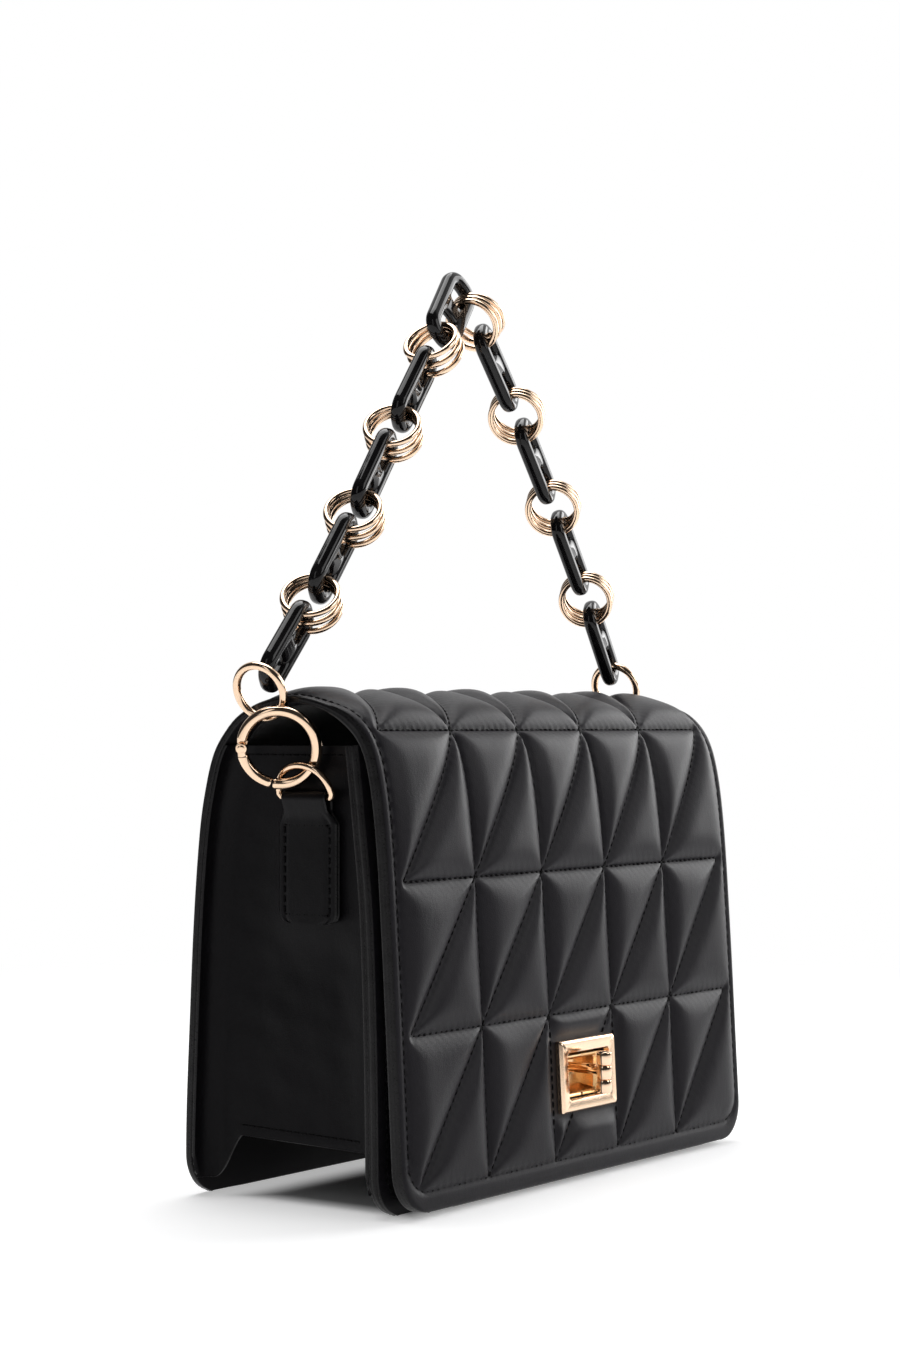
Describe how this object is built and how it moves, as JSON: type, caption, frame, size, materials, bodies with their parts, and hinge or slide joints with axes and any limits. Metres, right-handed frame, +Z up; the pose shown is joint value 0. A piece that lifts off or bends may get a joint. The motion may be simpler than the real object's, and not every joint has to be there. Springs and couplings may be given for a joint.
{
  "type": "quilted crossbody bag",
  "caption": "Boxy quilted flap bag with a turn lock, side D-rings, spring-gate rings and a short link-and-ring chain handle.",
  "frame": {"origin": "on the floor, at the middle of the overall width and depth", "axes": "+Z up, front faces -Y, +X to the right seen from the front"},
  "size_m": [0.2356, 0.1008, 0.3236],
  "materials": {
    "faux_leather": "matte black grained coated leather",
    "lining_cloth": "black woven lining cloth",
    "padding_foam": "soft grey padding",
    "stiffener_board": "fibre board",
    "gold_metal": "polished pale gold plating",
    "black_acrylic": "glossy black"
  },
  "bodies": {
    "bag": {"back_cover": "faux_leather", "back_board": "stiffener_board", "back_lining": "lining_cloth", "roof_padding": "padding_foam", "front_cover": "faux_leather", "front_board": "stiffener_board", "front_lining": "lining_cloth", "left_gusset": "faux_leather", "right_gusset": "faux_leather", "base_panel": "faux_leather", "base_board": "stiffener_board", "slip_pocket": "lining_cloth", "left_tab": "faux_leather", "right_tab": "faux_leather", "lock_base": "gold_metal", "lock_washer": "gold_metal"},
    "flap": {"flap_cover": "faux_leather", "flap_padding": "padding_foam", "flap_lining": "lining_cloth", "lock_plate": "gold_metal", "lock_backing": "gold_metal"},
    "knob": {"turn_knob": "gold_metal"},
    "left_d": {"left_d_ring": "gold_metal"},
    "right_d": {"right_d_ring": "gold_metal"},
    "o_rings": {"left_o_ring": "gold_metal", "right_o_ring": "gold_metal", "left_gate_rivet": "gold_metal", "right_gate_rivet": "gold_metal"},
    "left_ring_gate": {"left_gate": "gold_metal"},
    "right_ring_gate": {"right_gate": "gold_metal"},
    "end_rings": {"left_end_ring": "gold_metal", "right_end_ring": "gold_metal"},
    "links_1": {"chain_link_1": "black_acrylic", "chain_link_9": "black_acrylic"},
    "rings_1": {"ring_set_1": "gold_metal", "ring_set_8": "gold_metal"},
    "links_2": {"chain_link_2": "black_acrylic", "chain_link_8": "black_acrylic"},
    "rings_2": {"ring_set_2": "gold_metal", "ring_set_7": "gold_metal"},
    "links_3": {"chain_link_3": "black_acrylic", "chain_link_7": "black_acrylic"},
    "rings_3": {"ring_set_3": "gold_metal", "ring_set_6": "gold_metal"},
    "links_4": {"chain_link_4": "black_acrylic", "chain_link_6": "black_acrylic"},
    "rings_4": {"ring_set_4": "gold_metal", "ring_set_5": "gold_metal"},
    "apex": {"chain_link_5": "black_acrylic"}
  },
  "joints": [
    {"name": "flap_hinge", "type": "hinge", "parent": "bag", "child": "flap", "pos_m": [0, -0.00631, 0.16601], "axis": [-1, 0, 0], "range_deg": [0, 120]},
    {"name": "knob_turn", "type": "hinge", "parent": "bag", "child": "knob", "pos_m": [0, -0.04768, 0.0383], "axis": [0, 1, 0], "range_deg": [0, 90]},
    {"name": "left_d_fold", "type": "hinge", "parent": "bag", "child": "left_d", "pos_m": [-0.1024, 0.00269, 0.1341], "axis": [0, 1, 0], "range_deg": [-1, 0.5]},
    {"name": "right_d_fold", "type": "hinge", "parent": "bag", "child": "right_d", "pos_m": [0.1024, 0.00269, 0.1341], "axis": [0, -1, 0], "range_deg": [-1, 4]},
    {"name": "o_rings_swing", "type": "hinge", "parent": "bag", "child": "o_rings", "pos_m": [-0.00132, 0.00269, 0.14529], "axis": [1, 0, 0.0031], "range_deg": [-2, 1.5]},
    {"name": "left_gate_open", "type": "hinge", "parent": "o_rings", "child": "left_ring_gate", "pos_m": [-0.11586, 0.01907, 0.1507], "axis": [-0.8362, -0.4789, -0.2672], "range_deg": [0, 7], "stiffness_Nm_per_rad": 0.004},
    {"name": "right_gate_open", "type": "hinge", "parent": "o_rings", "child": "right_ring_gate", "pos_m": [0.10744, -0.00315, 0.15335], "axis": [0.9438, -0.2832, -0.1702], "range_deg": [0, 25], "stiffness_Nm_per_rad": 0.004},
    {"name": "end_rings_swing", "type": "hinge", "parent": "o_rings", "child": "end_rings", "pos_m": [-0.00245, 0.01469, 0.17095], "axis": [0.9998, 0, 0.0178], "range_deg": [-5, 8]},
    {"name": "links_1_swing", "type": "hinge", "parent": "end_rings", "child": "links_1", "pos_m": [-0.00245, 0.01469, 0.17095], "axis": [0.9998, 0, 0.0178], "range_deg": [-7, 4]},
    {"name": "rings_1_swing", "type": "hinge", "parent": "links_1", "child": "rings_1", "pos_m": [0.00049, 0.01469, 0.20356], "axis": [0.999, 0, 0.0454], "range_deg": [-5, 1]},
    {"name": "links_2_swing", "type": "hinge", "parent": "rings_1", "child": "links_2", "pos_m": [0.00049, 0.01469, 0.20356], "axis": [0.999, 0, 0.0454], "range_deg": [-6, 1]},
    {"name": "rings_2_swing", "type": "hinge", "parent": "links_2", "child": "rings_2", "pos_m": [0.00059, 0.01469, 0.2357], "axis": [0.9958, 0, 0.0915], "range_deg": [-5, 1]},
    {"name": "links_3_swing", "type": "hinge", "parent": "rings_2", "child": "links_3", "pos_m": [0.00059, 0.01469, 0.2357], "axis": [0.9958, 0, 0.0915], "range_deg": [-6, 1.5]},
    {"name": "rings_3_swing", "type": "hinge", "parent": "links_3", "child": "rings_3", "pos_m": [-0.00063, 0.01469, 0.26767], "axis": [0.9856, 0, 0.1692], "range_deg": [-5, 2]},
    {"name": "links_4_swing", "type": "hinge", "parent": "rings_3", "child": "links_4", "pos_m": [-0.00063, 0.01469, 0.26767], "axis": [0.9856, 0, 0.1692], "range_deg": [-4, 3]},
    {"name": "rings_4_swing", "type": "hinge", "parent": "links_4", "child": "rings_4", "pos_m": [-0.00123, 0.01524, 0.3], "axis": [0.8985, 0.0236, 0.4384], "range_deg": [-6, 6]},
    {"name": "apex_swing", "type": "hinge", "parent": "rings_4", "child": "apex", "pos_m": [-0.00123, 0.01524, 0.3], "axis": [0.8985, 0.0236, 0.4384], "range_deg": [-5, 10]}
  ]
}
